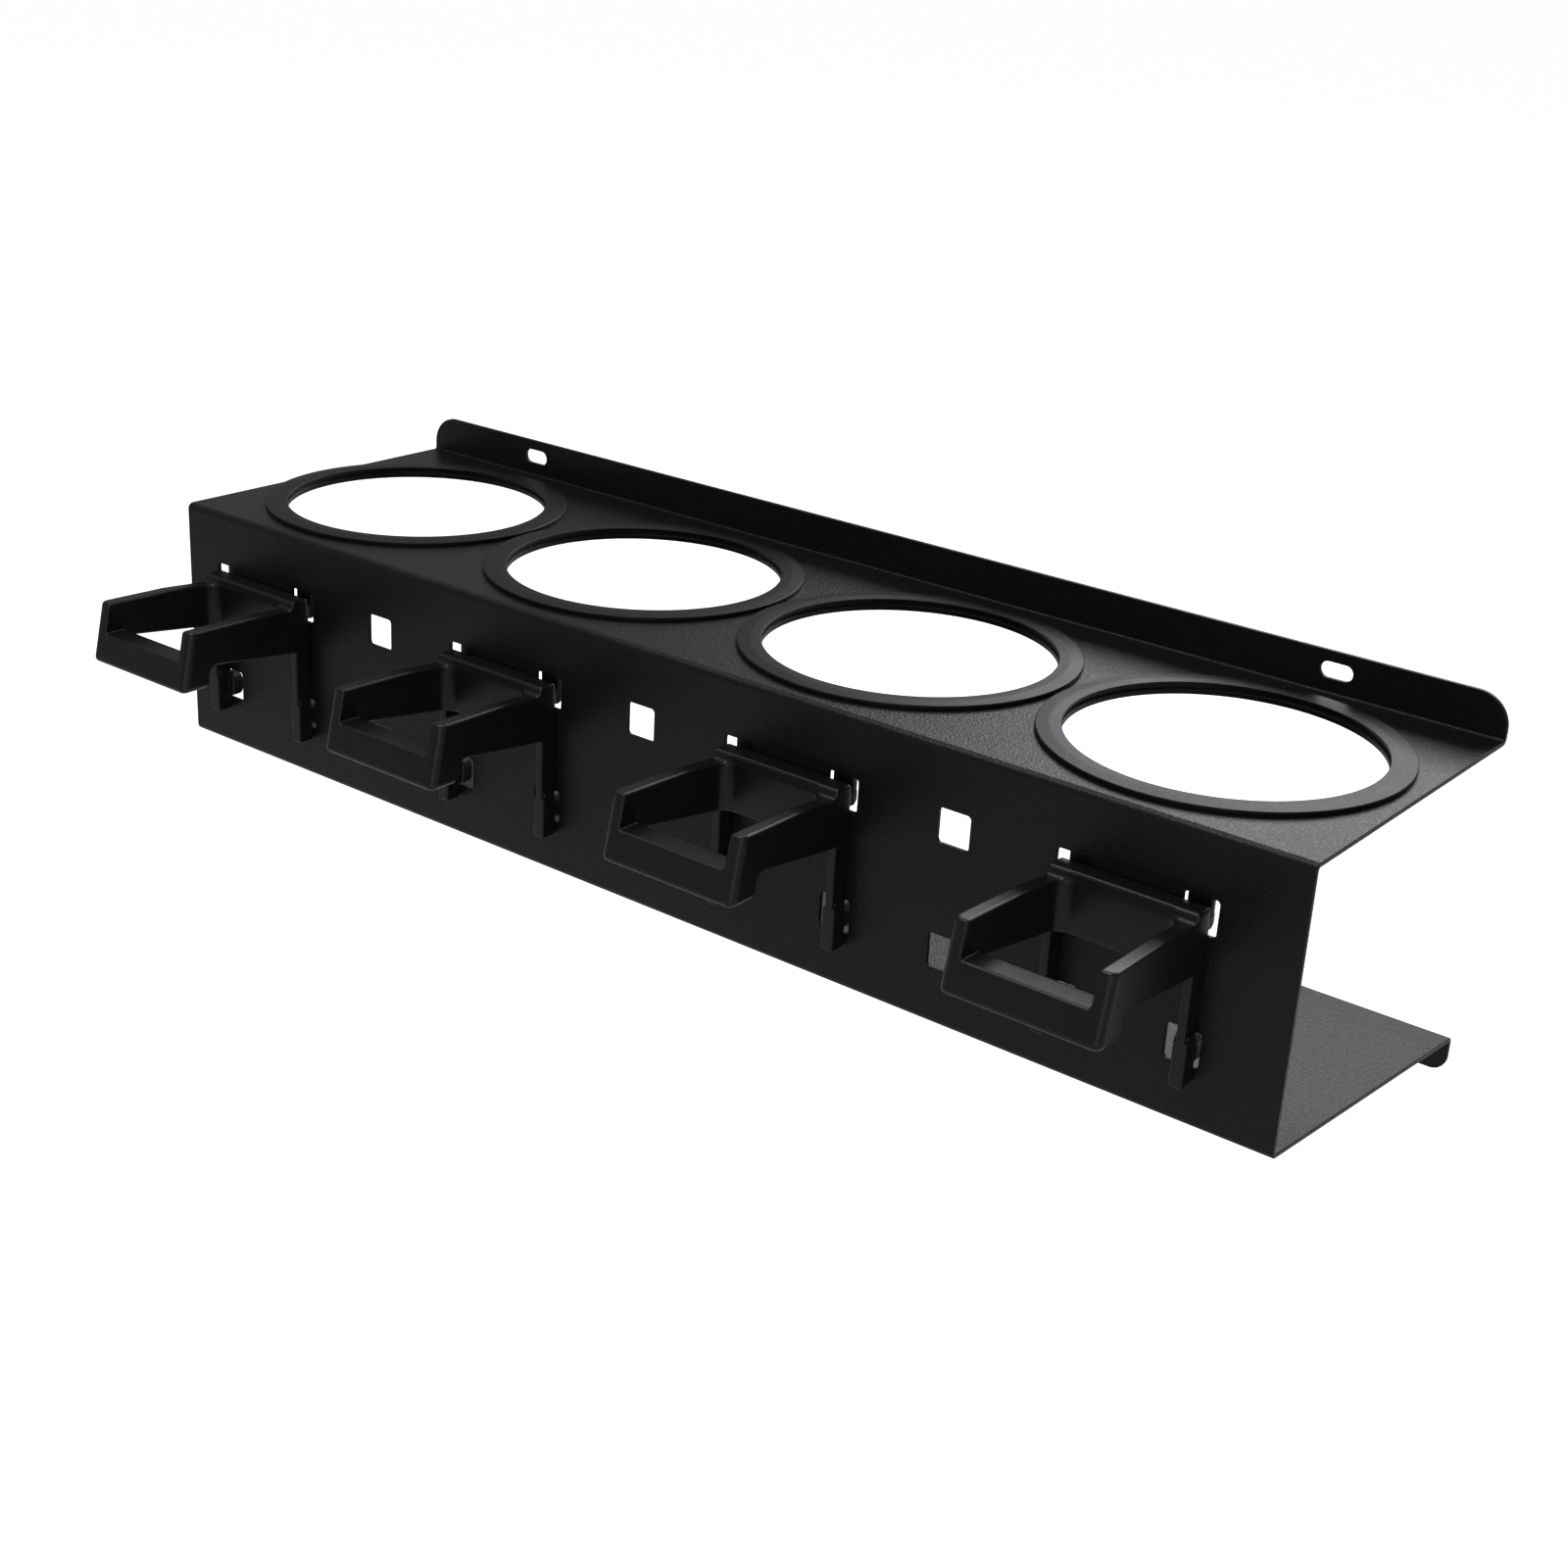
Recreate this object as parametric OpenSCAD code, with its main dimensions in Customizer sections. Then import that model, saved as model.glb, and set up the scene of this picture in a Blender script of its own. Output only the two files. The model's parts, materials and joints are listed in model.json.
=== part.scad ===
// Wall rack for hair dressing tools: one folded sheet with a row of ring-lined
// round holes on top and a grid of square holes in front for clip-on holders.
// Origin: on the wall, halfway between the two screw slots.
// +X runs along the rack, -Y comes off the wall, +Z is up.

/* [Folded sheet] */
// Length of the rack
sheet_w = 430; // [430:1:640]
// Thickness of the steel sheet
sheet_t = 1.5; // [1:0.1:2]
// Depth of the shelf, from the wall to the front face
shelf_d = 120; // [118:1:180]
// Height of the front face
face_h = 84; // [80:1:130]
// Height of the wall flange above the shelf
flange_h = 13; // [12:0.5:30]
// Height of the lip behind the lower shelf
lip_h = 11; // [8:0.5:24]
// Fall of the lower shelf towards the wall, in degrees
floor_fall = 6; // [0:0.5:10]
// Radius of the folds, at the middle of the sheet
fold_r = 1.4; // [1.2:0.1:3]
// Radius of the flange's two upper corners
flange_corner_r = 10; // [2:0.5:11]
// Radius of the lip's two lower corners
lip_corner_r = 5; // [1:0.5:7]

/* [Wall slots] */
// Length of each screw slot
slot_l = 10.5; // [7:0.5:20]
// Width of each screw slot
slot_w = 5; // [4:0.2:7]
// Distance from each end of the rack to the middle of its slot
slot_inset = 53; // [25:1:120]
// Height of the slots above the shelf
slot_rise = 7; // [5.5:0.5:8]

/* [Square holes] */
// Distance between neighbouring holes, both ways
grid_pitch = 38; // [31:0.5:38]
// Side of each square hole
grid_hole = 10.5; // [9.5:0.5:12]
// Radius of the holes' corners
grid_corner_r = 1.2; // [0.5:0.1:2]
// Distance from the left end to the first column
grid_left = 20.5; // [14:0.5:25]
// Distance from the shelf down to the upper row
grid_top = 23.4; // [18:0.2:26]

/* [Grommet rings] */
// Distance from the left end to the middle of the first ring
ring_left = 53; // [53:0.5:54]
// Distance from the front face to the middle of the rings
ring_front = 58.5; // [56:0.5:60]
// Gap between neighbouring rings
ring_gap = 1.7; // [1:0.1:1.7]
// Clear opening through each ring
ring_open = 90; // [60:1:90]
// Width of each ring's flange
ring_flange = 7.5; // [5:0.5:7.5]
// Height of each ring's crown above the shelf
ring_rise = 1.6; // [1.6:0.1:4]
// Height of each ring's outer edge
ring_edge = 1.2; // [1.1:0.1:1.5]
// Wall of the sleeve that passes through the shelf
ring_sleeve = 2.6; // [2.2:0.1:3.2]
// Depth of the sleeve below the top of the shelf
ring_depth = 2.4; // [2.4:0.1:8]
// How far the sleeve's catch reaches under the shelf
ring_catch = 1.2; // [0.8:0.1:1.6]

/* [Clip-on holders] */
// Columns from one holder to the next
holder_step = 3; // [3:1:3]
// How much wider a holder's back plate is than the distance between its columns
holder_over = 7; // [6:0.5:12]
// How far each arm leans outwards at the front
holder_flare = 1.3; // [0:0.1:3]
// Reach of a holder's front edge, at the top
holder_reach = 50; // [42:0.5:70]
// How much further the front's lower edge reaches
holder_lean = 4.2; // [0:0.2:6]
// Thickness of the two arms
arm_t = 5; // [4:0.2:6]
// Thickness of the back plate
plate_t = 7; // [6:0.2:9]
// Height of the back plate
plate_h = 18; // [16:0.5:19]
// Depth of the front bar
bar_t = 8.5; // [7:0.5:11]
// Height of the front, from the arms' tops to its lower edge
front_h = 19; // [16:0.5:24]
// Distance from the arms' tops down to the top of the bar
bar_drop = 10; // [0:0.5:12]
// Thickness of the two legs below the back plate
leg_t = 2.6; // [2:0.2:4]
// Depth of the two legs
leg_d = 6; // [5:0.2:7]
// Width of the feet
foot_w = 4.2; // [4:0.2:5]
// Height of the feet
foot_h = 13.5; // [11:0.5:15]
// Width of the hooks in the upper row
hook_w = 7.4; // [4:0.2:7.4]
// Width of the pegs in the lower row
peg_w = 6.6; // [5:0.2:6.8]
// Gap around the pegs in their holes
peg_gap = 0.8; // [0.6:0.1:1]
// Gap between a holder and the sheet
clear = 0.3; // [0.2:0.05:0.5]

/* [Hidden] */
$fn = 64;
over = 1;                                       // how far a cutter runs past a face
left = -sheet_w / 2;                            // left end of the rack
top_z = -slot_rise;                             // top of the shelf
front_y = -shelf_d;                             // front face
bottom_z = top_z - face_h;                      // lower shelf's underside, at the front
grid_cols = floor((sheet_w - grid_left - 1.5 * grid_hole) / grid_pitch) + 1;
ring_outer = ring_open + 2 * ring_flange;
ring_pitch = ring_outer + ring_gap;
ring_fit = 0.4;                                 // gap between a sleeve and its hole
sleeve_r = ring_open / 2 + ring_sleeve;
row_z = top_z - grid_top;                       // upper row of square holes

// ---- folded sheet: a strip of even thickness carried along a path with round bends ----
half_t = sheet_t / 2;
fall_z = (shelf_d - sheet_t) * tan(floor_fall);
strip = [[-half_t, top_z + flange_h],
         [-half_t, top_z - half_t],
         [front_y + half_t, top_z - half_t],
         [front_y + half_t, bottom_z + half_t],
         [-half_t, bottom_z + half_t - fall_z],
         [-half_t, bottom_z + half_t - fall_z - lip_h]];
lip_z = strip[5][1];                            // lower edge of the lip

function unit(v) = v / norm(v);
function side(v) = [-v[1], v[0]];
function turn(a, b) = a[0] * b[1] - a[1] * b[0];
function way(i) = unit(strip[i + 1] - strip[i]);
function bend_tan(i) = fold_r * tan(acos(way(i - 1) * way(i)) / 2);
function trim(i) = i == 0 || i == len(strip) - 1 ? 0 : bend_tan(i);

module flat_run(i) {
    a = strip[i] + way(i) * trim(i);
    b = strip[i + 1] - way(i) * trim(i + 1);
    n = side(way(i)) * half_t;
    polygon([a + n, b + n, b - n, a - n]);
}

module bend(i) {
    hand = sign(turn(way(i - 1), way(i)));
    start = strip[i] - way(i - 1) * trim(i);
    end = strip[i] + way(i) * trim(i);
    centre = start + side(way(i - 1)) * hand * fold_r;
    reach = 2 * (fold_r + half_t);
    intersection() {
        translate(centre) difference() {
            circle(r = fold_r + half_t);
            circle(r = fold_r - half_t);
        }
        polygon([centre, centre + unit(start - centre) * reach,
                 centre + unit(strip[i] - centre) * 2 * reach,
                 centre + unit(end - centre) * reach]);
    }
}

module along_x(length, from) {
    translate([from, 0, 0]) rotate([90, 0, 90]) linear_extrude(length) children();
}

// what is cut away where a square corner is rounded
module corner_cut(r) {
    difference() {
        translate([-over, -over]) square(r + over);
        translate([r, r]) circle(r = r);
    }
}

// corners that are rounded: x, z, radius and the turn of the cutter
sheet_corners = [[left, top_z + flange_h, flange_corner_r, 270],
                 [-left, top_z + flange_h, flange_corner_r, 180],
                 [left, lip_z, lip_corner_r, 0],
                 [-left, lip_z, lip_corner_r, 90]];

module rounded_square(w, h, r) {
    square([w - 2 * r, h], center = true);
    square([w, h - 2 * r], center = true);
    for (x = [-1, 1], y = [-1, 1]) translate([x * (w / 2 - r), y * (h / 2 - r)]) circle(r = r);
}

// cutter along Y, from y to y + depth
module through_y(x, y, z, depth) {
    translate([x, y + depth, z]) rotate([90, 0, 0]) linear_extrude(depth) children();
}

module folded_sheet() {
    color([0.13, 0.13, 0.14]) difference() {
        union() {
            for (i = [0:len(strip) - 2]) along_x(sheet_w, left) flat_run(i);
            for (i = [1:len(strip) - 2]) along_x(sheet_w, left) bend(i);
        }
        for (s = [-1, 1])
            through_y(s * (sheet_w / 2 - slot_inset), -sheet_t - over, 0, sheet_t + 2 * over) {
                square([slot_l - slot_w, slot_w], center = true);
                for (e = [-1, 1]) translate([e * (slot_l - slot_w) / 2, 0]) circle(d = slot_w);
            }
        for (c = sheet_corners)
            through_y(c[0], -sheet_t - over, c[1], sheet_t + 2 * over) rotate(c[3]) corner_cut(c[2]);
        for (c = [0:grid_cols - 1], r = [0, 1])
            through_y(left + grid_left + c * grid_pitch, front_y - over,
                      row_z - r * grid_pitch, sheet_t + 2 * over)
                rounded_square(grid_hole, grid_hole, grid_corner_r);
        for (i = [0:3]) translate([ring_x(i), ring_y(), top_z - sheet_t - over])
            cylinder(r = sleeve_r + ring_fit, h = sheet_t + 2 * over);
    }
}

// ---- grommet rings ----
function ring_x(i) = left + ring_left + i * ring_pitch;
function ring_y() = front_y + ring_front;

// Half section: a crowned flange on the shelf, and a sleeve through it with a catch
// under the shelf and a shallow groove around the inside.
groove_d = 0.9;
groove_top = ring_edge - 0.5;                   // leaves a thin lip around the opening
groove_low = -0.6;
catch_h = 0.4;                                  // height of the catch's full width
toe_in = 0.5;                                   // how far the sleeve's lower edge is drawn in

module ring_section() {
    r_in = ring_open / 2;
    r_catch = sleeve_r + ring_catch;
    r_toe = sleeve_r - toe_in;
    sag = ring_rise - ring_edge;
    crown_r = (ring_flange * ring_flange / 4 + sag * sag) / (2 * sag);
    under = -sheet_t - ring_fit / 2;
    difference() {
        union() {
            intersection() {
                translate([r_in, 0]) square([ring_flange, ring_rise]);
                translate([r_in + ring_flange / 2, ring_rise - crown_r]) circle(r = crown_r);
            }
            polygon([[r_in, ring_edge / 2], [r_in, -ring_depth], [r_toe, -ring_depth],
                     [r_catch, under - catch_h], [r_catch, under], [sleeve_r, under],
                     [sleeve_r, ring_edge / 2]]);
        }
        translate([r_in - over, groove_low]) square([over + groove_d, groove_top - groove_low]);
    }
}

module ring(i) {
    color([0.09, 0.09, 0.10])
        translate([ring_x(i), ring_y(), top_z]) rotate_extrude($fn = 128) ring_section();
}

// ---- clip-on holders ----
// Each is drawn with its origin on the sheet's front face, in the upper row, halfway
// between the two columns that it hooks into.
holder_w = grid_pitch + holder_over;
plate_top = grid_hole / 2 - 1.85;               // leaves the top of the hole open
arm_dip = 2.5;                                  // arms' tops below the plate's top, at the plate
front_dip = 0.9;                                // and at the front
arm_top_z = plate_top - front_dip;
front_low_z = arm_top_z - front_h;
rear_low_z = front_low_z - 1;                   // lower edge behind the front bar
front_d = 10;                                   // depth of the front at its lower edge
front_bevel = 1.5;                              // bevel behind the lower edge
knee_r = 4;                                     // fillet between the front and the arms
knee_z = front_low_z + 6.4;                     // underside of the arms, behind the front
under_z = plate_top - plate_h + 0.6;            // underside of the arms, at the legs
front_end = -holder_reach - holder_lean;        // foremost edge
knee_y = front_end + front_d + 2;
plate_y = -clear - plate_t;                     // front of the back plate
leg_top_z = plate_top - 4;
foot_out = 0.9;                                 // how far the feet pass the plate's ends
peg_h = grid_hole - 2 * peg_gap;
peg_r = 3;
peg_reach = 1.5;                                // how far the pegs pass the sheet
foot_top_z = -grid_pitch + peg_h / 2;
hook_x = (grid_pitch - grid_hole + hook_w) / 2 + clear; // hooks bear on the holes' inner sides
hook_t = 2.2;                                   // thickness of the hooks' tips
hook_top = grid_hole / 2 + 2.75;                // tips rise behind the sheet, past the hole
hook_low = -grid_hole / 2 + 0.95;
hook_bevel = 1.6;
hook_round = 1;
hook_back = sheet_t + clear + hook_t;           // rear of the tips

function half_w(y) = holder_w / 2 + holder_flare * y / front_end;

// one arm seen from the side, in (y, z)
module arm_side() {
    polygon([[-clear, plate_top - arm_dip], [-holder_reach / 2, arm_top_z - 0.5],
             [-holder_reach, arm_top_z], [front_end, front_low_z],
             [front_end + front_bevel, rear_low_z], [front_end + front_d - 1, rear_low_z],
             [front_end + front_d, rear_low_z + front_bevel], [knee_y, knee_z - knee_r],
             [knee_y, knee_z], [knee_y + knee_r, knee_z], [-clear, under_z]]);
    difference() {
        translate([knee_y, knee_z - knee_r]) square(knee_r);
        translate([knee_y + knee_r, knee_z - knee_r]) circle(r = knee_r);
    }
}

// the cradle seen from above between two distances from the sheet, less inset at each side
module cradle_plan(rear, front, inset) {
    polygon([[inset - half_w(rear), rear], [inset - half_w(front), front],
             [half_w(front) - inset, front], [half_w(rear) - inset, rear]]);
}

module upright(low, high) {
    translate([0, 0, low]) linear_extrude(high - low) children();
}

module cradle() {
    wide = holder_w + 4 * holder_flare;
    difference() {
        intersection() {
            along_x(wide, -wide / 2) arm_side();
            upright(rear_low_z - over, plate_top + over) cradle_plan(-clear, front_end - over, 0);
        }
        // the open loop between the back plate and the front bar
        upright(rear_low_z - 2 * over, plate_top + 2 * over)
            cradle_plan(plate_y, bar_t - holder_reach - holder_lean / 2, arm_t);
        // the front is low between the arms
        upright(arm_top_z - bar_drop, plate_top + 2 * over)
            cradle_plan(plate_y, front_end - 2 * over, arm_t);
    }
}

module box_from(x, width, y, depth, low, high) {
    translate([x - width / 2, y, low]) cube([width, depth, high - low]);
}

// leg, foot, peg and hook at one side, s = -1 or 1
module holder_side(s) {
    box_from(s * (holder_w - leg_t) / 2, leg_t, -clear - leg_d, leg_d,
             foot_top_z - foot_h, leg_top_z);
    box_from(s * (holder_w / 2 + foot_out - foot_w / 2), foot_w, -clear - leg_d, leg_d,
             foot_top_z - foot_h, foot_top_z);
    through_y(s * ((grid_pitch + grid_hole - peg_w) / 2 - peg_gap), -clear - over, -grid_pitch,
              clear + over + sheet_t + peg_reach)
        rounded_square(peg_w, peg_h, peg_r);
    // a neck through the upper hole and a tip that rises behind the sheet
    along_x(hook_w, s * hook_x - hook_w / 2)
        polygon([[-clear - over, hook_low], [hook_back - hook_bevel, hook_low],
                 [hook_back, hook_low + hook_bevel], [hook_back, hook_top - hook_round],
                 [hook_back - hook_round, hook_top], [hook_back - hook_t, hook_top],
                 [hook_back - hook_t, 0], [-clear - over, 0]]);
}

module holder(i) {
    color([0.07, 0.07, 0.08])
    translate([left + grid_left + (holder_step * i + 0.5) * grid_pitch, front_y, row_z]) {
        cradle();
        box_from(0, holder_w, plate_y, plate_t, plate_top - plate_h, plate_top);
        for (s = [-1, 1]) holder_side(s);
    }
}

folded_sheet();
ring(0);  // ring_1
ring(1);  // ring_2
ring(2);  // ring_3
ring(3);  // ring_4
holder(0);  // holder_1
holder(1);  // holder_2
holder(2);  // holder_3
holder(3);  // holder_4
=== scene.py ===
import json
import math

import bpy
import numpy as np
from mathutils import Matrix, Vector
from mathutils.geometry import delaunay_2d_cdt

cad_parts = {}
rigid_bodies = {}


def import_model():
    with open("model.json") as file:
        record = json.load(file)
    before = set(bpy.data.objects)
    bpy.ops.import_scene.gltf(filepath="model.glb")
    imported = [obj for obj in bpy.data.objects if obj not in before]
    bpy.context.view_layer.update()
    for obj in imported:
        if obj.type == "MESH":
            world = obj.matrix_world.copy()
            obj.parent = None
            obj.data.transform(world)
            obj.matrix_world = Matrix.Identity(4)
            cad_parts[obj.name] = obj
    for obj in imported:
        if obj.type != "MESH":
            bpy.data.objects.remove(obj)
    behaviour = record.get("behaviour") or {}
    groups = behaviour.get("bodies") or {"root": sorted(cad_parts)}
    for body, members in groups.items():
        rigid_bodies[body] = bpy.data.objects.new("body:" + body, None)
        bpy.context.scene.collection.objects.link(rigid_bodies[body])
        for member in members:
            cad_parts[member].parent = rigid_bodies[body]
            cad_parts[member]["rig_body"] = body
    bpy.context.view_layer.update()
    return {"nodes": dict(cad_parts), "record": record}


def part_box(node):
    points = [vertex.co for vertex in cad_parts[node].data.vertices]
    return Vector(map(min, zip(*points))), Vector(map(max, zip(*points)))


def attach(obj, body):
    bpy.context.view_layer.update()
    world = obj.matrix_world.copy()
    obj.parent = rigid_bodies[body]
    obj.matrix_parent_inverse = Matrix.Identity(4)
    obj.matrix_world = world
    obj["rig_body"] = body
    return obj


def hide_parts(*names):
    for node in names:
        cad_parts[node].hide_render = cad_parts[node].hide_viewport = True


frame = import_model()
mounts = {m["name"]: m for m in frame["record"]["mounts"]}
mm = 0.001
print("frame loaded:", len(frame["nodes"]), "nodes")


# ---- shader wiring ----
class Wire:
    # one output socket; + and * on wires add Math nodes, and node() adds anything else

    def __init__(self, tree, socket=None):
        self.tree = tree
        self.socket = socket

    # settings are set first, then each named socket gets its value or link
    def node(self, kind, settings=None, inputs=None, out=0):
        made = self.tree.nodes.new(kind)
        for name, value in (settings or {}).items():
            if name == "stops":
                for stop, (place, tone) in zip(made.color_ramp.elements, value):
                    stop.position = place
                    stop.color = (tone, tone, tone, 1)
            else:
                setattr(made, name, value)
        for name, value in (inputs or {}).items():
            if isinstance(value, Wire):
                self.tree.links.new(value.socket, made.inputs[name])
            else:
                made.inputs[name].default_value = value
        return Wire(self.tree, made.outputs[out] if len(made.outputs) else None)

    def sum(self, operation, first, second):
        return self.node("ShaderNodeMath", {"operation": operation}, {0: first, 1: second})

    def __add__(self, other):
        return self.sum("ADD", self, other)

    def __mul__(self, other):
        return self.sum("MULTIPLY", self, other)

    __radd__ = __add__
    __rmul__ = __mul__


def newMaterial(name):
    made = bpy.data.materials.new(name)
    made.use_nodes = True
    made.node_tree.nodes.clear()
    return made, Wire(made.node_tree)


def noise(wire, coords, size, detail):  # size is the width of one bump
    return wire.node("ShaderNodeTexNoise", None,
                     {"Vector": coords, "Scale": 1 / size, "Detail": detail}, "Fac")


specks = {
    "stops": [(0.48, 0), (0.66, 1)],  # the grain's highest spots, from where they start to full
    "share": 0.4,            # of the change in colour; the clouds have the rest
    "smoother": -0.10,       # what a speck adds to the roughness
}


# A dark finish with three sizes of unevenness: broad clouds change its colour and gloss, and
# ripples and grain, in their shares, lift its surface. Specks are the grain's highest spots.
def darkFinish(name, spec):
    made, wire = newMaterial(name)
    coords = wire.node("ShaderNodeTexCoord", out="Object")
    clouds = noise(wire, coords, spec["cloudSize"], 3)
    ripples = noise(wire, coords, spec["rippleSize"], 1)
    grain = noise(wire, coords, spec["grainSize"], 2)
    speck = wire.node("ShaderNodeValToRGB", {"stops": specks["stops"]}, {"Fac": grain})
    mixed = clouds * (1 - specks["share"]) + speck * specks["share"]
    tone = wire.node("ShaderNodeMix", {"data_type": "RGBA"},
                     {0: mixed, 6: (*spec["dark"], 1), 7: (*spec["light"], 1)}, 2)
    height = ripples * spec["rippleShare"] + grain * (1 - spec["rippleShare"])
    lifted = wire.node("ShaderNodeBump", None,
                       {"Height": height, "Strength": spec["bump"],
                        "Distance": spec["bumpHeight"]})
    rough = clouds * spec["roughChange"] + speck * specks["smoother"] + spec["rough"]
    shader = wire.node("ShaderNodeBsdfPrincipled", None,
                       {"Base Color": tone, "Roughness": rough, "Normal": lifted,
                        "Specular IOR Level": spec["specular"]})
    wire.node("ShaderNodeOutputMaterial", None, {"Surface": shader})
    return made


powderCoat = darkFinish("powder_coat", {
    "dark": (0.004, 0.004, 0.0045), "light": (0.009, 0.009, 0.0102),
    "cloudSize": 90 * mm, "rippleSize": 2.4 * mm, "grainSize": 0.8 * mm,
    "rippleShare": 0.2, "bump": 1.0, "bumpHeight": 0.22 * mm,
    "rough": 0.36, "roughChange": 0.08, "specular": 0.28})
ringPlastic = darkFinish("ring_satin_plastic", {
    "dark": (0.0035, 0.0035, 0.004), "light": (0.008, 0.008, 0.0088),
    "cloudSize": 30 * mm, "rippleSize": 2.2 * mm, "grainSize": 0.4 * mm,
    "rippleShare": 0.4, "bump": 0.4, "bumpHeight": 0.04 * mm,
    "rough": 0.38, "roughChange": 0.10, "specular": 0.22})
holderPlastic = darkFinish("holder_moulded_plastic", {
    "dark": (0.0035, 0.0035, 0.004), "light": (0.008, 0.008, 0.0088),
    "cloudSize": 14 * mm, "rippleSize": 1.6 * mm, "grainSize": 0.3 * mm,
    "rippleShare": 0.3, "bump": 0.35, "bumpHeight": 0.04 * mm,
    "rough": 0.33, "roughChange": 0.10, "specular": 0.38})
print("finishes made")


# ---- meshes ----
# Turns over each face whose own direction disagrees with the surface directions at its points.
def facedOutwards(points, faces, normals):
    faces = np.asarray(faces)
    corner = points[faces]
    across = corner[:, -1] - corner[:, 1], corner[:, 2] - corner[:, 0]
    wrong = (np.cross(across[1], across[0]) * normals[faces].sum(1)).sum(1) < 0
    faces[wrong] = faces[wrong][:, ::-1]
    return faces.tolist()


# A piece in one material. groups are arrays of triangles or of four-sided faces.
def makePiece(name, points, groups, normals, material, node):
    mesh = bpy.data.meshes.new(name)
    faces = [f for group in groups for f in facedOutwards(points, group, normals)]
    mesh.from_pydata(points.tolist(), [], faces)
    mesh.shade_smooth()
    mesh.normals_split_custom_set_from_vertices(normals.tolist())
    mesh.materials.append(material)
    made = bpy.data.objects.new(name, mesh)
    bpy.context.scene.collection.objects.link(made)
    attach(made, frame["nodes"][node]["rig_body"])
    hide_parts(node)
    return made


# Four-sided faces of a grid of point numbers. Each row closes on itself, and the last row
# joins the first if the grid is closed.
def gridFaces(rows, closed=True):
    after = np.roll(rows, -1, axis=1)
    faces = np.stack([rows[:-1], after[:-1], after[1:], rows[1:]], axis=-1)
    if closed:
        faces = np.concatenate([faces, [np.stack([rows[-1], after[-1], after[0], rows[0]], -1)]])
    return faces.reshape(-1, 4)


# Closed outline whose corners are arcs: each arc's centre lies on the corner's bisector, at
# radius / cos(half turn) from it, and its direction turns evenly from one side to the next.
def roundedLoop(corners, radii, steps):
    corners = np.asarray(corners, float)
    side = np.roll(corners, -1, axis=0) - corners
    heading = np.arctan2(side[:, 1], side[:, 0])
    before = np.roll(heading, 1)
    turn = (heading - before + math.pi) % (2 * math.pi) - math.pi
    bisector = before + turn / 2 + math.pi / 2
    reach = np.sign(turn) * radii / np.cos(turn / 2)
    centre = corners + reach[:, None] * np.stack([np.cos(bisector), np.sin(bisector)], -1)
    at = before[:, None] + turn[:, None] * np.linspace(0, 1, steps + 1) - math.pi / 2
    normals = np.stack([np.cos(at), np.sin(at)], -1)
    bow = (np.sign(turn) * radii)[:, None, None]
    return (centre[:, None] + bow * normals).reshape(-1, 2), normals.reshape(-1, 2)


# ---- folded sheet ----
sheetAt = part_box("folded_sheet")
gridAt = Vector(mounts["accessory_grid"]["pos_m"])  # upper hole of the middle column
slots = mounts["wall_slots"]["dims"]
ring = {
    "open": mounts["ring_1_opening"]["dims"]["r_mm"] * mm,
    "flange": 7.5 * mm,      # width of the flange
    "rise": 1.6 * mm,        # height of the crown above the shelf
    "edge": 1.4 * mm,        # height of the outer edge
    "inner": 1.5 * mm,       # height of the inner edge
    "lip": 0.6 * mm,         # thickness of the flange over the groove
    "groove": (0.9 * mm, -0.6 * mm),  # how deep it is, and the height of its lower side
    "sleeve": 2.6 * mm,      # thickness of the wall that goes down through the hole
    "clear": 0.4 * mm,       # between the sleeve and its hole
    "depth": 2.4 * mm,       # how far the sleeve goes down below the shelf's upper side
    "toe": 0.5 * mm,         # how much thinner the sleeve is at its lower end
    "catch": (1.2 * mm, 0.4 * mm),    # how far it stands out, and the height of its edge
    "catchGap": 0.2 * mm,    # between the catch and the sheet
    "crown": 0.46,           # place of the highest line, as a share of the flange's width
    "turns": 192,            # points around
    "cornerSteps": 6,        # steps around each rounded corner of the section
    # one radius for each corner of the section, in its order; the crown has the large one
    "radii": np.array([0.1, 0.2, 0.35, 12, 0.25, 0.12, 0.2, 0.2, 0.3, 0.35, 0.2, 0.12, 0.1, 0.1]) * mm,
}
sheet = {
    "thick": 1.5 * mm,
    "foldRadius": 1.4 * mm,  # at the middle of the sheet
    "faceHeight": 84 * mm,
    "fall": math.radians(6),  # of the lower shelf, towards the wall
    "lip": 11 * mm,
    "flangeCorner": 10 * mm,
    "lipCorner": 5 * mm,
    "pitch": 38 * mm,        # of the square holes
    "hole": 10.5 * mm,
    "holeCorner": 1.2 * mm,
    "columns": 11,
    "ringHole": ring["open"] + ring["sleeve"] + ring["clear"],
    "edgeRound": 0.3 * mm,   # the coat rounds every cut edge
    "edgeSteps": 4,          # steps across each rounded edge, to the middle of the sheet
    "foldSteps": 10,         # steps across each fold
    "cornerPoints": 13,      # points around each outer corner
    "ringPoints": 128,       # points around each round hole
    "holeSteps": 6,          # steps around each corner of a square hole
    "slotSteps": 10,         # steps around each quarter turn of a slot's ends
    "slotRound": 0.499,      # share of a slot's width; less than half, so that no points meet
    "netInset": 16 * mm,     # from the sheet's ends to the net's first and last column
    "netColumns": 21,        # columns of points along each fold
}


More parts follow.
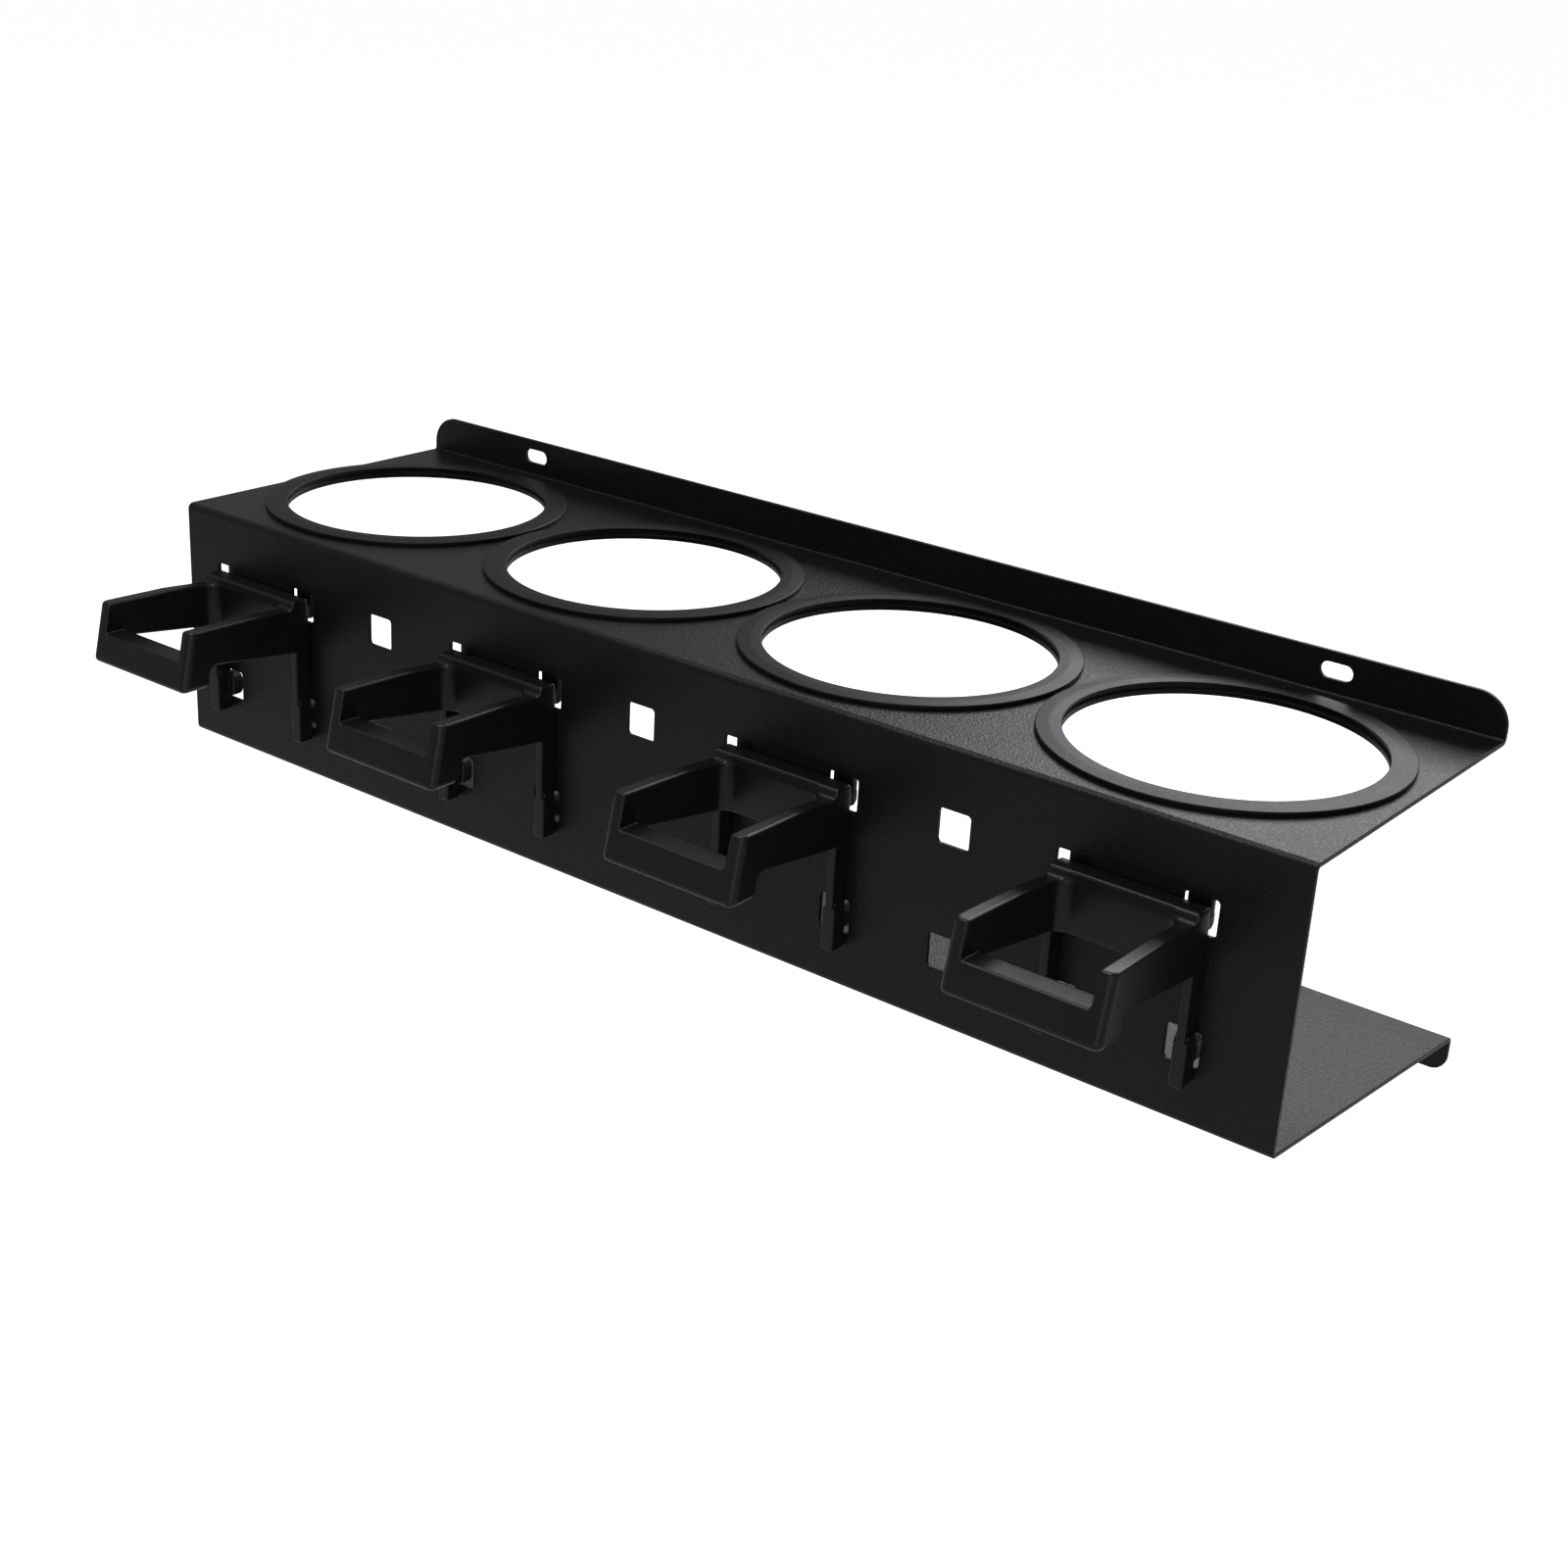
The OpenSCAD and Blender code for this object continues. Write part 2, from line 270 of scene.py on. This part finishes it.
# The folded mid-line as stretches of even curvature: straight runs, and the arcs that touch
# them. Each stretch has its start along the line, start point, heading and curvature.
def foldedLine(corners, radius):
    step = np.diff(corners, axis=0)
    heading = np.unwrap(np.arctan2(step[:, 1], step[:, 0]))
    turn = np.diff(heading)
    touch = radius * np.tan(np.abs(turn) / 2)
    run = np.hypot(*step.T) - np.append(touch, 0) - np.append(0, touch)
    count = 2 * len(run) - 1
    length, curve, start = np.zeros(count), np.zeros(count), np.zeros(count)
    length[::2], length[1::2] = run, radius * np.abs(turn)
    curve[1::2] = np.sign(turn) / radius
    start[::2], start[1::2] = heading, heading[:-1]
    along = np.append(0, np.cumsum(length))
    place = np.cumsum(np.vstack([corners[0], travelled(start, curve, length)]), axis=0)
    return {"along": along, "place": place, "heading": start, "curve": curve}


# How far a line of even curvature gets: the integral of its heading's cosine and sine.
def travelled(heading, curve, length):
    safe = np.where(curve == 0, 1, curve)
    end = heading + curve * length
    bent = np.stack([np.sin(end) - np.sin(heading), np.cos(heading) - np.cos(end)], -1)
    straight = np.stack([np.cos(heading), np.sin(heading)], -1) * length[:, None]
    return np.where((curve == 0)[:, None], straight, bent / safe[:, None])


# Carries points of the flat blank (x, distance along the fold line, height above its middle)
# to their places on the folded sheet, and directions on the blank likewise.
def folded(line, blank, direction):
    at = np.clip(np.searchsorted(line["along"], blank[:, 1], "right") - 1,
                 0, len(line["curve"]) - 1)
    gone = blank[:, 1] - line["along"][at]
    heading = line["heading"][at] + line["curve"][at] * gone
    middle = line["place"][at] + travelled(line["heading"][at], line["curve"][at], gone)
    ahead = np.stack([np.cos(heading), np.sin(heading)], -1)
    left = np.stack([-ahead[:, 1], ahead[:, 0]], -1)
    yz = middle + left * blank[:, 2:]
    turned = ahead * direction[:, 1:2] + left * direction[:, 2:]
    return np.column_stack([blank[:, 0], yz]), np.column_stack([direction[:, 0], turned])


def circleLoop(radius, count):
    at = np.arange(count) / count * 2 * math.pi
    out = np.stack([np.cos(at), np.sin(at)], -1)
    return radius * out, -out  # the edge of a hole looks towards its middle


# Outline of the blank: four corner arcs joined by sides that have a point at each fold row.
def blankOutline(half, total, rows, columns):
    rounds = [(-half, 0, 1, 1, "flangeCorner", math.pi), (half, 0, -1, 1, "flangeCorner", 1.5 * math.pi),
              (half, total, -1, -1, "lipCorner", 0), (-half, total, 1, -1, "lipCorner", math.pi / 2)]
    sides = [np.stack([columns, columns * 0], -1), np.stack([rows * 0 + half, rows], -1),
             np.stack([columns[::-1], columns * 0 + total], -1),
             np.stack([rows * 0 - half, rows[::-1]], -1)]
    points, normals = [], []
    for k, (x, s, sx, ss, key, first) in enumerate(rounds):
        r = sheet[key]
        at = first + np.linspace(0, math.pi / 2, sheet["cornerPoints"])
        out = np.stack([np.cos(at), np.sin(at)], -1)
        points += [np.array([x + sx * r, s + ss * r]) + r * out, sides[k]]
        normals += [out, np.repeat(out[-1:], len(sides[k]), 0)]
    return np.concatenate(points), np.concatenate(normals)


def makeSheet():
    t, fold, e = sheet["thick"], sheet["foldRadius"], sheet["edgeRound"]
    low, high = sheetAt
    half = high.x
    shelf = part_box("ring_1")[1].z - ring["rise"]
    bottom = shelf - sheet["faceHeight"] + t / 2
    back, front = high.y - t / 2, low.y + t / 2
    drop = (high.y - low.y - t) * math.tan(sheet["fall"])
    line = foldedLine(np.array([
        (back, high.z), (back, shelf - t / 2), (front, shelf - t / 2), (front, bottom),
        (back, bottom - drop), (back, bottom - drop - sheet["lip"])]), fold)
    along, total = line["along"], line["along"][-1]
    rows = np.concatenate([np.linspace(along[k], along[k + 1], sheet["foldSteps"] + 1)
                           for k in (1, 3, 5, 7)])
    netEnd = half - sheet["netInset"]
    columns = np.linspace(-netEnd, netEnd, sheet["netColumns"])
    loops = [blankOutline(half, total, rows, columns)]
    # round holes of the shelf
    for n in range(1, 5):
        at = mounts["ring_%d_opening" % n]["pos_m"]
        points, normals = circleLoop(sheet["ringHole"], sheet["ringPoints"])
        loops.append((points + (at[0], along[2] + line["place"][2][0] - at[1]), normals))
    # square holes of the face, and slots of the flange
    square = np.array([(-1, -1), (1, -1), (1, 1), (-1, 1)]) / 2
    rowAt = along[4] + line["place"][4][1] - gridAt.z
    for column in range(sheet["columns"]):
        for row in (0, 1):
            points, normals = roundedLoop(square * sheet["hole"], sheet["holeCorner"],
                                          sheet["holeSteps"])
            x = gridAt.x + (column - sheet["columns"] // 2) * sheet["pitch"]
            loops.append((points + (x, rowAt + row * sheet["pitch"]), -normals))
    size = np.array([slots["slot_length_mm"], 2 * slots["hole_r_mm"]]) * mm
    for end in (-1, 1):
        points, normals = roundedLoop(square * size, sheet["slotRound"] * size[1],
                                      sheet["slotSteps"])
        x = end * slots["spacing_x_mm"] * mm / 2
        loops.append((points + (x, high.z - mounts["wall_slots"]["pos_m"][2]), -normals))
    # one flat net of triangles between the loops, with an edge along every fold row
    flat = np.concatenate([p - e * n for p, n in loops])
    owner = np.repeat(np.arange(len(loops)), [len(p) for p, n in loops])
    first = np.searchsorted(owner, np.arange(len(loops)))
    number = np.arange(len(flat))
    following = number + 1
    following[np.append(first[1:], len(flat)) - 1] = first
    edges = np.stack([number, following], -1)
    inner = np.stack(np.meshgrid(columns, rows, indexing="ij"), -1)
    right = number[2 * sheet["cornerPoints"] + len(columns):][:len(rows)]
    left = number[first[1] - len(rows):first[1]][::-1]
    middle = len(flat) + np.arange(len(columns) * len(rows)).reshape(len(columns), len(rows))
    across = np.vstack([left, middle, right])
    edges = np.vstack([edges, np.stack([across[:-1], across[1:]], -1).reshape(-1, 2)])
    flat = np.vstack([flat, inner.reshape(-1, 2)])
    owner = np.append(owner, np.full(inner.shape[0] * inner.shape[1], -1))
    net = delaunay_2d_cdt([Vector(p) for p in flat / mm], edges.tolist(), [], 0, 1e-6, False)
    if len(net[0]) != len(flat):
        print("blank: points were merged or added:", len(flat), len(net[0]))
    triangles = np.array(net[2])
    mine = owner[triangles]
    triangles = triangles[(mine[:, 0] < 1) | (mine != mine[:, :1]).any(1)]
    # both skins, then the rounded edge carried around each loop from skin to skin
    count = len(flat)
    blank = np.vstack([np.column_stack([flat, np.full(count, side * t / 2)]) for side in (1, -1)])
    direction = np.zeros((2 * count, 3))
    direction[:count, 2], direction[count:, 2] = 1, -1
    swing = np.linspace(0, math.pi / 2, sheet["edgeSteps"] + 1)[1:]
    swing = np.concatenate([swing, math.pi - swing[::-1]])
    points, ways, groups = [blank], [direction], [triangles, triangles + count]
    used = 2 * count
    for k, (outline, normals) in enumerate(loops):
        n = len(outline)
        out = np.sin(swing)[:, None, None] * normals
        up = np.repeat(np.cos(swing)[:, None, None], n, 1)
        level = np.repeat([1, -1], sheet["edgeSteps"]) * (t / 2 - e)
        edge = np.concatenate([(outline - e * normals) + e * out, level[:, None, None] + e * up], -1)
        points.append(edge.reshape(-1, 3))
        ways.append(np.concatenate([out, up], -1).reshape(-1, 3))
        ringsOf = used + np.arange(len(swing) * n).reshape(-1, n)
        skin = first[k] + np.arange(n)
        groups.append(gridFaces(np.vstack([skin, ringsOf, skin + count]), closed=False))
        used += len(swing) * n
    places, normals = folded(line, np.vstack(points), np.vstack(ways))
    made = makePiece("folded_sheet_coated", places, groups, normals, powderCoat, "folded_sheet")
    print("sheet:", len(places), "points,", len(triangles), "triangles a side")


makeSheet()


# ---- ring grommets ----
# The section's closed outline turned around the opening's axis: a point at distance r and
# height z goes to (r cos a, r sin a, z) as a runs around. The groove's sides slope a little.
def makeRing(n):
    mount = mounts["ring_%d_opening" % n]["pos_m"]
    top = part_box("ring_%d" % n)[1].z - ring["rise"]
    inner, outer = ring["open"], ring["open"] + ring["flange"]
    sleeve = inner + ring["sleeve"]
    crown = inner + ring["crown"] * ring["flange"]
    under = -sheet["thick"] - ring["catchGap"]
    deep, low = ring["groove"]
    out, high = ring["catch"]
    roof = ring["inner"] - ring["lip"]
    corners = [(sleeve, 0), (outer, 0), (outer, ring["edge"]), (crown, ring["rise"] + 0.02 * mm),
               (inner, ring["inner"]), (inner, roof), (inner + deep, roof - 0.1 * mm),
               (inner + deep, low), (inner, low - 0.1 * mm), (inner, -ring["depth"]),
               (sleeve - ring["toe"], -ring["depth"]), (sleeve + out, under - high),
               (sleeve + out, under), (sleeve, under)]
    profile, outward = roundedLoop(corners, ring["radii"], ring["cornerSteps"])
    around = np.arange(ring["turns"]) / ring["turns"] * 2 * math.pi
    spin = np.stack([np.cos(around), np.sin(around)], -1)
    points = np.concatenate([spin[:, None] * profile[None, :, :1],
                             np.broadcast_to(profile[None, :, 1:], (len(spin), len(profile), 1))], -1)
    normals = np.concatenate([spin[:, None] * outward[None, :, :1],
                              np.broadcast_to(outward[None, :, 1:], (len(spin), len(profile), 1))], -1)
    points = points.reshape(-1, 3) + (mount[0], mount[1], top)
    rows = np.arange(len(points)).reshape(len(spin), len(profile))
    made = makePiece("ring_%d_grommet" % n, points, [gridFaces(rows)], normals.reshape(-1, 3),
                     ringPlastic, "ring_%d" % n)


for n in range(1, 5):
    makeRing(n)
print("rings made")

# ---- clip-on holders ----
holder = {
    "width": 45 * mm,
    "flare": 1.3 * mm,       # each arm leans out by this at the front
    "reach": 50 * mm,
    "lean": 4.2 * mm,        # the front's lower edge reaches this much further
    "arm": 5 * mm,
    "plate": 7 * mm,
    "plateTop": 3.4 * mm,    # above the middle of the upper holes
    "plateLow": -14.6 * mm,
    "armTop": 2.5 * mm,      # at the front
    "armRise": (0.6 * mm, 2.0 * mm, 25 * mm),  # arm's top at the plate, and further out
    "frontHeight": 19 * mm,
    "frontDeep": 10 * mm,
    "barDeep": 8.5 * mm,
    "barDrop": 10 * mm,
    "kneeUp": 7.4 * mm,      # arms' underside above the front's lower edge
    "leg": (2.6 * mm, 6 * mm),                 # width and depth
    "foot": (4.2 * mm, 13.5 * mm, 0.9 * mm),   # width, height and how far it stands out
    "legTop": 5 * mm,        # its upper end, below the plate's
    "step": (0.45 * mm, 1.2 * mm, 1.6 * mm),   # of the foot's top: side, front and height
    "peg": (6.6 * mm, 8.9 * mm, 3 * mm),       # width, height and corner radius
    "pegGap": 0.8 * mm,      # between the peg and the side of its hole
    "pegDeep": 1.5 * mm,     # how far the peg goes behind the sheet
    "hook": (7.4 * mm, 2.2 * mm, 1.6 * mm),    # width, thickness of the tip and bevel below
    "hookUp": (0.95 * mm, 2.75 * mm),          # its bottom and top, above those of the hole
    "gap": 0.3 * mm,         # between the holder and the sheet
    "spare": 1 * mm,         # how far the front goes below and behind its named sizes
    "into": 1 * mm,          # how far parts go into each other where they join
    "rounds": {"front": 2.6 * mm, "rim": 2.0 * mm, "plate": 1.4 * mm, "armStart": 1.6 * mm,
               "knee": 4 * mm, "opening": 4 * mm, "bar": 1.3 * mm, "barEnd": 0.6 * mm,
               "head": 1.0 * mm, "leg": 0.5 * mm, "foot": 0.6 * mm, "step": 0.3 * mm,
               "peg": 0.5 * mm, "hook": 0.6 * mm, "bevel": 0.3 * mm},
    "cell": 0.4 * mm,        # of the grid of points that the field is worked out on
}


# Cuts solids against each other with an arc of radius r along the edges: where more than one
# face is nearer than r, the distance is the length of their overreach, less r.
def cutRound(r, *fields):
    most = np.maximum.reduce(np.broadcast_arrays(*fields))
    over = sum(np.maximum(f + r, 0) ** 2 for f in fields)
    return np.minimum(-r, most) + np.sqrt(over)


# Joins two solids with a fillet of radius r in the corner, by the same rule turned inside out.
def joinRound(r, a, b):
    return -cutRound(r, -a, -b)


def block(r, x, y, z, xs, ys, zs):
    return cutRound(r, xs[0] - x, x - xs[1], ys[0] - y, y - ys[1], zs[0] - z, z - zs[1])


# Distance-like field of one holder, negative inside. x is taken from the middle between its
# two columns, y from the sheet's face and z from the middle of the upper holes.
def holderField(x, y, z):
    h, r = holder, holder["rounds"]
    x = np.abs(x)
    gap, t = h["gap"], sheet["thick"]
    end = -h["reach"] - h["lean"]
    half = h["width"] / 2 + h["flare"] * y / end
    plateFront = -gap - h["plate"]
    low = h["armTop"] - h["frontHeight"] - h["spare"]
    slope = math.atan2(h["lean"], h["frontHeight"])
    # the front leans, and its corners and lower edge are well rounded
    front = -(y + h["reach"]) * math.cos(slope) + (z - h["armTop"]) * math.sin(slope)
    rim = cutRound(r["rim"], cutRound(r["front"], front, x - half), low - z)
    # the arms rise from the plate in a soft corner, then run level
    armTop = np.interp(-y, [-plateFront, h["armRise"][2], h["reach"]], [*h["armRise"][:2], h["armTop"]])
    plate = cutRound(r["plate"], plateFront - y, z - h["plateTop"])
    upper = joinRound(r["armStart"], z - armTop, plate)
    # underside: the front's rear, a wide fillet and the arms' slanting lower edge
    kneeY = end + h["frontDeep"] + h["spare"]
    under = np.interp(-y, [-plateFront, -kneeY], [h["plateLow"], low + h["kneeUp"]])
    knee = joinRound(r["knee"], y - kneeY, under - z)
    # the opening between the arms, closed by the plate and by the bar in front
    opening = cutRound(r["opening"], x - half + h["arm"], y - plateFront)
    bar = cutRound(r["bar"], z - h["armTop"] + h["barDrop"],
                   y + h["reach"] + h["lean"] / 2 - h["barDeep"])
    keep = joinRound(r["barEnd"], -opening, bar)
    head = cutRound(r["head"], rim, upper, knee, keep, y + gap)
    # legs, and feet with a small step on top
    side, pitch, into = h["width"] / 2, sheet["pitch"], h["into"]
    legWide, legDeep = h["leg"]
    footWide, footHigh, footOut = h["foot"]
    pegWide, pegHigh, pegCorner = h["peg"]
    legBack = (-gap - legDeep, -gap)
    footTop = -pitch + pegHigh / 2
    footLow = footTop - footHigh
    leg = block(r["leg"], x, y, z, (side - legWide, side), legBack,
                (footLow + into, h["plateTop"] - h["legTop"]))
    outer = side + footOut
    foot = block(r["foot"], x, y, z, (outer - footWide, outer), legBack, (footLow, footTop))
    stepIn, stepBack, stepUp = h["step"]
    footStep = block(r["step"], x, y, z, (outer - footWide, outer - stepIn),
                     (legBack[0] + stepBack, -gap), (footTop - into, footTop + stepUp))
    # pegs
    pegX = (pitch + sheet["hole"] - pegWide) / 2 - h["pegGap"]
    across = cutRound(pegCorner, np.abs(x - pegX) - pegWide / 2, np.abs(z + pitch) - pegHigh / 2)
    peg = cutRound(r["peg"], across, y - t - h["pegDeep"], -gap - into - y)
    # hooks: a neck through the hole, and a tip that stands up behind the sheet
    hookWide, hookThick, bevelled = h["hook"]
    hookX = (pitch - sheet["hole"] + hookWide) / 2 + gap
    hookSide = (hookX - hookWide / 2, hookX + hookWide / 2)
    hookBack = t + gap + hookThick
    hookLow = h["hookUp"][0] - sheet["hole"] / 2
    neck = block(r["hook"], x, y, z, hookSide, (-gap - into, hookBack), (hookLow, 0))
    tip = block(r["hook"], x, y, z, hookSide, (hookBack - hookThick, hookBack),
                (hookLow, sheet["hole"] / 2 + h["hookUp"][1]))
    # the lower rear edge is bevelled, so that the hook clears the hole as the holder swings
    bevel = (y - hookBack + hookLow - z + bevelled) / math.sqrt(2)
    hook = cutRound(r["bevel"], joinRound(r["hook"], neck, tip), bevel)
    return np.minimum.reduce([head, leg, foot, footStep, peg, hook])


# Slope of a field at points, from its change over a small step each way.
def slopeOf(field, points, step=0.01 * mm):
    return np.stack([field(*(points + shift).T) - field(*(points - shift).T)
                     for shift in np.eye(3) * step], -1) / (2 * step)


# Meshes the surface where a field is nought. Each cell of the grid that the surface crosses
# gets one point, at the mean of the crossings on its edges, and each crossed edge joins the
# points of its four cells into a face. The points then slide a few times along the slope,
# onto the surface.
def surfaceOf(field, low, high, cell, slides=4):
    axes = [np.arange(low[k] - 2 * cell, high[k] + 3 * cell, cell) for k in range(3)]
    value = field(*np.meshgrid(*axes, indexing="ij")).astype(np.float32)
    count = np.array(value.shape) - 1
    total = np.zeros((*count, 3), np.float32)
    hits = np.zeros(count, np.float32)
    crossings = []
    for axis in range(3):
        here = np.delete(value, -1, axis)
        there = np.delete(value, 0, axis)
        crossed = (here < 0) != (there < 0)
        part = here / np.where(crossed, here - there, 1)
        crossings.append((crossed, here < 0))
        u, v = (axis + 1) % 3, (axis + 2) % 3
        for du in (0, 1):
            for dv in (0, 1):
                pick = [slice(None)] * 3
                pick[u], pick[v] = slice(du, count[u] + du), slice(dv, count[v] + dv)
                hit = crossed[tuple(pick)]
                total[..., axis] += np.where(hit, part[tuple(pick)], 0)
                total[..., u] += du * hit
                total[..., v] += dv * hit
                hits += hit
    cells = hits > 0
    number = np.full(cells.shape, -1)
    number[cells] = np.arange(cells.sum())
    points = (np.argwhere(cells) + total[cells] / hits[cells][:, None]) * cell
    points += np.array([a[0] for a in axes])
    quads = []
    for axis, (crossed, inside) in enumerate(crossings):
        u, v = (axis + 1) % 3, (axis + 2) % 3
        at = np.argwhere(crossed)
        shift = [np.eye(3, dtype=int)[u], np.eye(3, dtype=int)[v]]
        ringOf = [at - shift[0] - shift[1], at - shift[1], at, at - shift[0]]
        quads.append(np.stack([number[tuple(r.T)] for r in ringOf], -1))
    for _ in range(slides):
        slope = slopeOf(field, points)
        steep = np.maximum((slope ** 2).sum(1), 0.05)  # so that no point slides far off
        points -= slope * (field(*points.T) / steep)[:, None]
    normals = slopeOf(field, points)
    return points, np.concatenate(quads), normals / np.linalg.norm(normals, axis=1)[:, None]


def holderPlace(n):
    low, high = (np.array(corner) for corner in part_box("holder_%d" % n))
    return low, high, np.array([(low[0] + high[0]) / 2, gridAt.y, gridAt.z])


# the four holders are alike, so the field is meshed once
low, high, origin = holderPlace(1)
points, quads, normals = surfaceOf(holderField, low - origin, high - origin, holder["cell"])
print("holder meshed:", len(points), "points")
for n in range(1, 5):
    made = makePiece("holder_%d_moulding" % n, points + holderPlace(n)[2], [quads], normals,
                     holderPlastic, "holder_%d" % n)
print("holders made")

# ---- stage, lamps and camera ----
stage = {
    "floor": -0.34,          # height of the floor
    "size": 14,
    "floorTone": 0.8,
    "white": 0.8,            # share of plain white that the camera sees in the floor
    "ambient": 0.24,         # the world's light on the object
    "lampColor": (0.95, 0.96, 1),
    "sheen": 0.02,           # what the world adds in its reflections
}


def makeFloor():
    size = stage["size"]
    mesh = bpy.data.meshes.new("studio_floor")
    mesh.from_pydata([(-size, -size, stage["floor"]), (size, -size, stage["floor"]),
                      (size, size, stage["floor"]), (-size, size, stage["floor"])],
                     [], [(0, 1, 2, 3)])
    floor = bpy.data.objects.new("studio_floor", mesh)
    bpy.context.scene.collection.objects.link(floor)
    made, wire = newMaterial("studio_floor")
    seen = wire.node("ShaderNodeLightPath", out="Is Camera Ray")
    plain = wire.node("ShaderNodeBsdfDiffuse", None, {"Color": (stage["floorTone"],) * 3 + (1,)})
    glow = wire.node("ShaderNodeEmission", None, {"Strength": seen * stage["white"]})
    both = wire.node("ShaderNodeAddShader", None, {0: plain, 1: glow})
    wire.node("ShaderNodeOutputMaterial", None, {"Surface": both})
    mesh.materials.append(made)


def makeWorld():
    world = bpy.data.worlds.new("studio")
    world.use_nodes = True
    world.node_tree.nodes.clear()
    wire = Wire(world.node_tree)
    path = "ShaderNodeLightPath"
    seen = wire.node(path, out="Is Camera Ray") + wire.node(path, out="Is Transmission Ray")
    glossy = wire.node(path, out="Is Glossy Ray")
    strength = seen * (1 - stage["ambient"]) + glossy * stage["sheen"] + stage["ambient"]
    back = wire.node("ShaderNodeBackground", None, {"Color": (1, 1, 1, 1), "Strength": strength})
    wire.node("ShaderNodeOutputWorld", None, {"Surface": back})
    bpy.context.scene.world = world


lamps = {
    "rear_softbox": {"place": (-0.12, 1.2, 0.76), "aim": (0, -0.06, 0),
                     "size": (1.15, 0.72), "power": 10.5},
    "overhead": {"place": (-0.25, -0.3, 1.4), "aim": (0, -0.06, -0.03),
                 "size": (1.0, 1.0), "power": 9},
    "front_fill": {"place": (0.9, -1.4, 0.3), "aim": (0, -0.1, -0.05),
                   "size": (1.0, 1.0), "power": 3},
}


def makeLamp(name, spec):
    lamp = bpy.data.lights.new(name, "AREA")
    lamp.shape = "RECTANGLE"
    lamp.size, lamp.size_y = spec["size"]
    lamp.energy = spec["power"]
    lamp.color = stage["lampColor"]
    made = bpy.data.objects.new(name, lamp)
    place = Vector(spec["place"])
    made.location = place
    made.rotation_euler = (Vector(spec["aim"]) - place).to_track_quat("-Z", "Y").to_euler()
    made.visible_camera = False
    bpy.context.scene.collection.objects.link(made)


# The camera stands at a distance from the point that it turns about; azimuth 0 looks along +Y.
view = {
    "about": (0.0508, -0.120, -0.0342),
    "distance": 0.6653,
    "azimuth": math.radians(36.88),
    "elevation": math.radians(22.28),
    "roll": math.radians(3.31),
    "lens": 53.0,
}


def makeCamera():
    az, el, roll = view["azimuth"], view["elevation"], view["roll"]
    back = Vector((math.sin(az) * math.cos(el), -math.cos(az) * math.cos(el), math.sin(el)))
    right = Vector((0, 0, 1)).cross(back).normalized()
    up = back.cross(right)
    x = right * math.cos(roll) + up * math.sin(roll)
    y = up * math.cos(roll) - right * math.sin(roll)
    lens = bpy.data.cameras.new("camera")
    lens.lens = view["lens"]
    lens.clip_start, lens.clip_end = 0.01, 60
    made = bpy.data.objects.new("camera", lens)
    place = Matrix((x, y, back)).transposed().to_4x4()
    place.translation = Vector(view["about"]) + back * view["distance"]
    made.matrix_world = place
    bpy.context.scene.collection.objects.link(made)
    bpy.context.scene.camera = made


makeFloor()
makeWorld()
for name, spec in lamps.items():
    makeLamp(name, spec)
makeCamera()
bpy.context.scene.view_settings.view_transform = "Standard"
print("stage, lamps and camera made")
